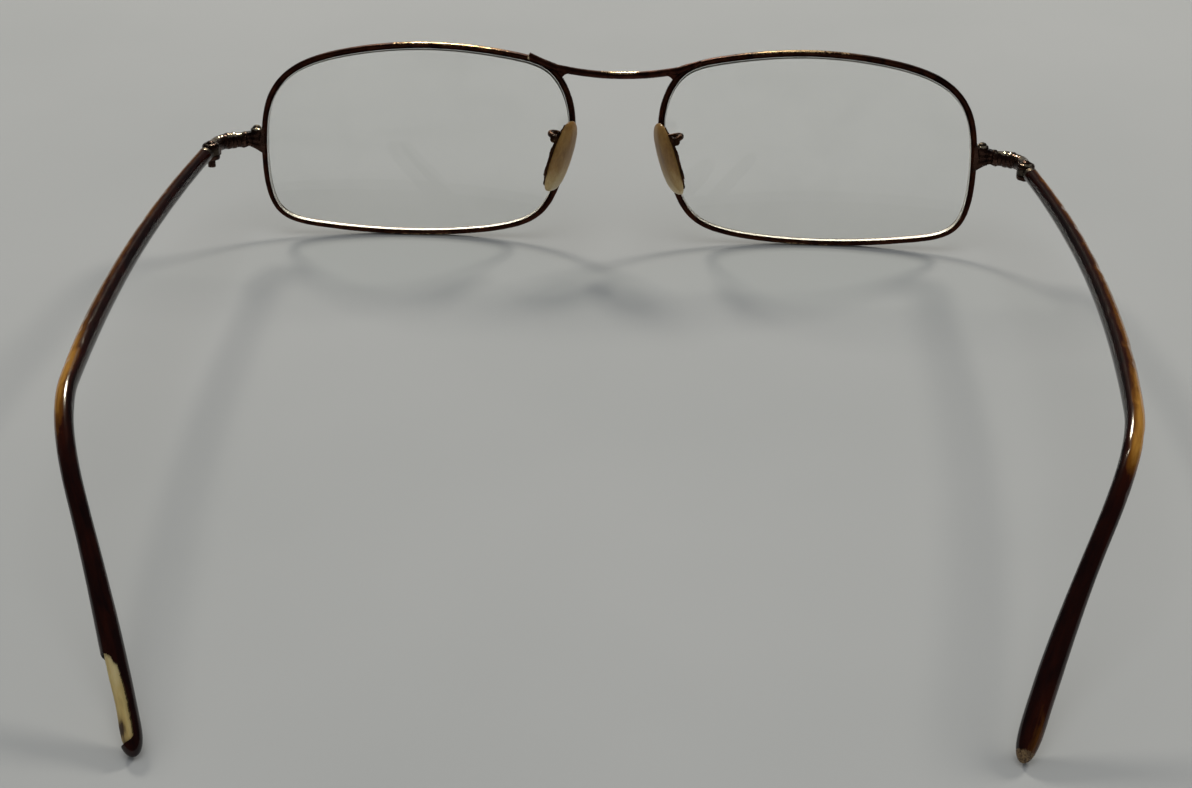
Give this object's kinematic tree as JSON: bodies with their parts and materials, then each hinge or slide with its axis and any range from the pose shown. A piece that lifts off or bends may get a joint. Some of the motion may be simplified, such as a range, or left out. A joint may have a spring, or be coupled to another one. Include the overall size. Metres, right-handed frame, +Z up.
{
  "type": "broken eyeglasses",
  "caption": "Worn wire-rimmed eyeglasses with rocking nose pads and folding tortoiseshell-covered temples, the covering broken off one tip.",
  "frame": {"origin": "on the table, at the middle of the box that holds the opened glasses", "axes": "+X towards the wearer's right, +Y forward past the lenses, +Z up; the opened glasses stand on the rims' lower edges and the temple tips"},
  "size_m": [0.1442, 0.1438, 0.0335],
  "materials": {
    "rim_wire": "thin worn gilt wire, dark bronze where the gilding has gone",
    "bridge_wire": "worn gilt wire, pale gold where it is rubbed",
    "end_piece": "dark tarnished gilt with bright filed edges",
    "screw": "tarnished steel",
    "lens_glass": "clear polished glass",
    "pad_metal": "dark tarnished gilt",
    "pad_celluloid": "yellowed translucent celluloid",
    "temple_metal": "dark tarnished gilt",
    "core_wire": "brass wire",
    "pale_layer": "matt, dry, yellowed celluloid",
    "tortoise_cover": "dark amber tortoiseshell celluloid, polished and chipped"
  },
  "bodies": {
    "front": {"left_rim": "rim_wire", "right_rim": "rim_wire", "left_lens": "lens_glass", "right_lens": "lens_glass", "bridge": "bridge_wire", "left_endpiece": "end_piece", "right_endpiece": "end_piece", "left_rim_screw": "screw", "right_rim_screw": "screw", "left_hinge_screw": "screw", "right_hinge_screw": "screw", "left_pad_arm": "pad_metal", "right_pad_arm": "pad_metal", "left_pad_pin": "pad_metal", "right_pad_pin": "pad_metal"},
    "left_pad": {"left_pad_plate": "pad_metal", "left_nose_pad": "pad_celluloid"},
    "right_pad": {"right_pad_plate": "pad_metal", "right_nose_pad": "pad_celluloid"},
    "left_temple": {"left_temple_butt": "temple_metal", "left_temple_core": "core_wire", "left_tip_liner": "pale_layer", "left_temple_cover": "tortoise_cover"},
    "right_temple": {"right_temple_butt": "temple_metal", "right_temple_core": "core_wire", "right_tip_liner": "pale_layer", "right_temple_cover": "tortoise_cover"}
  },
  "joints": [
    {"name": "left_temple_fold", "type": "hinge", "parent": "front", "child": "left_temple", "pos_m": [-0.069, 0.06, 0.01809], "axis": [0, 0.1496, 0.9887], "range_deg": [0, 80]},
    {"name": "right_temple_fold", "type": "hinge", "parent": "front", "child": "right_temple", "pos_m": [0.0666, 0.06, 0.01809], "axis": [0, -0.1496, -0.9887], "range_deg": [0, 68]},
    {"name": "left_pad_rock", "type": "hinge", "parent": "front", "child": "left_pad", "pos_m": [-0.01086, 0.06196, 0.02067], "axis": [0.4042, 0.8776, -0.2577], "range_deg": [-10, 10]},
    {"name": "right_pad_rock", "type": "hinge", "parent": "front", "child": "right_pad", "pos_m": [0.00846, 0.06196, 0.02067], "axis": [-0.4042, 0.8776, -0.2577], "range_deg": [-10, 10]}
  ]
}
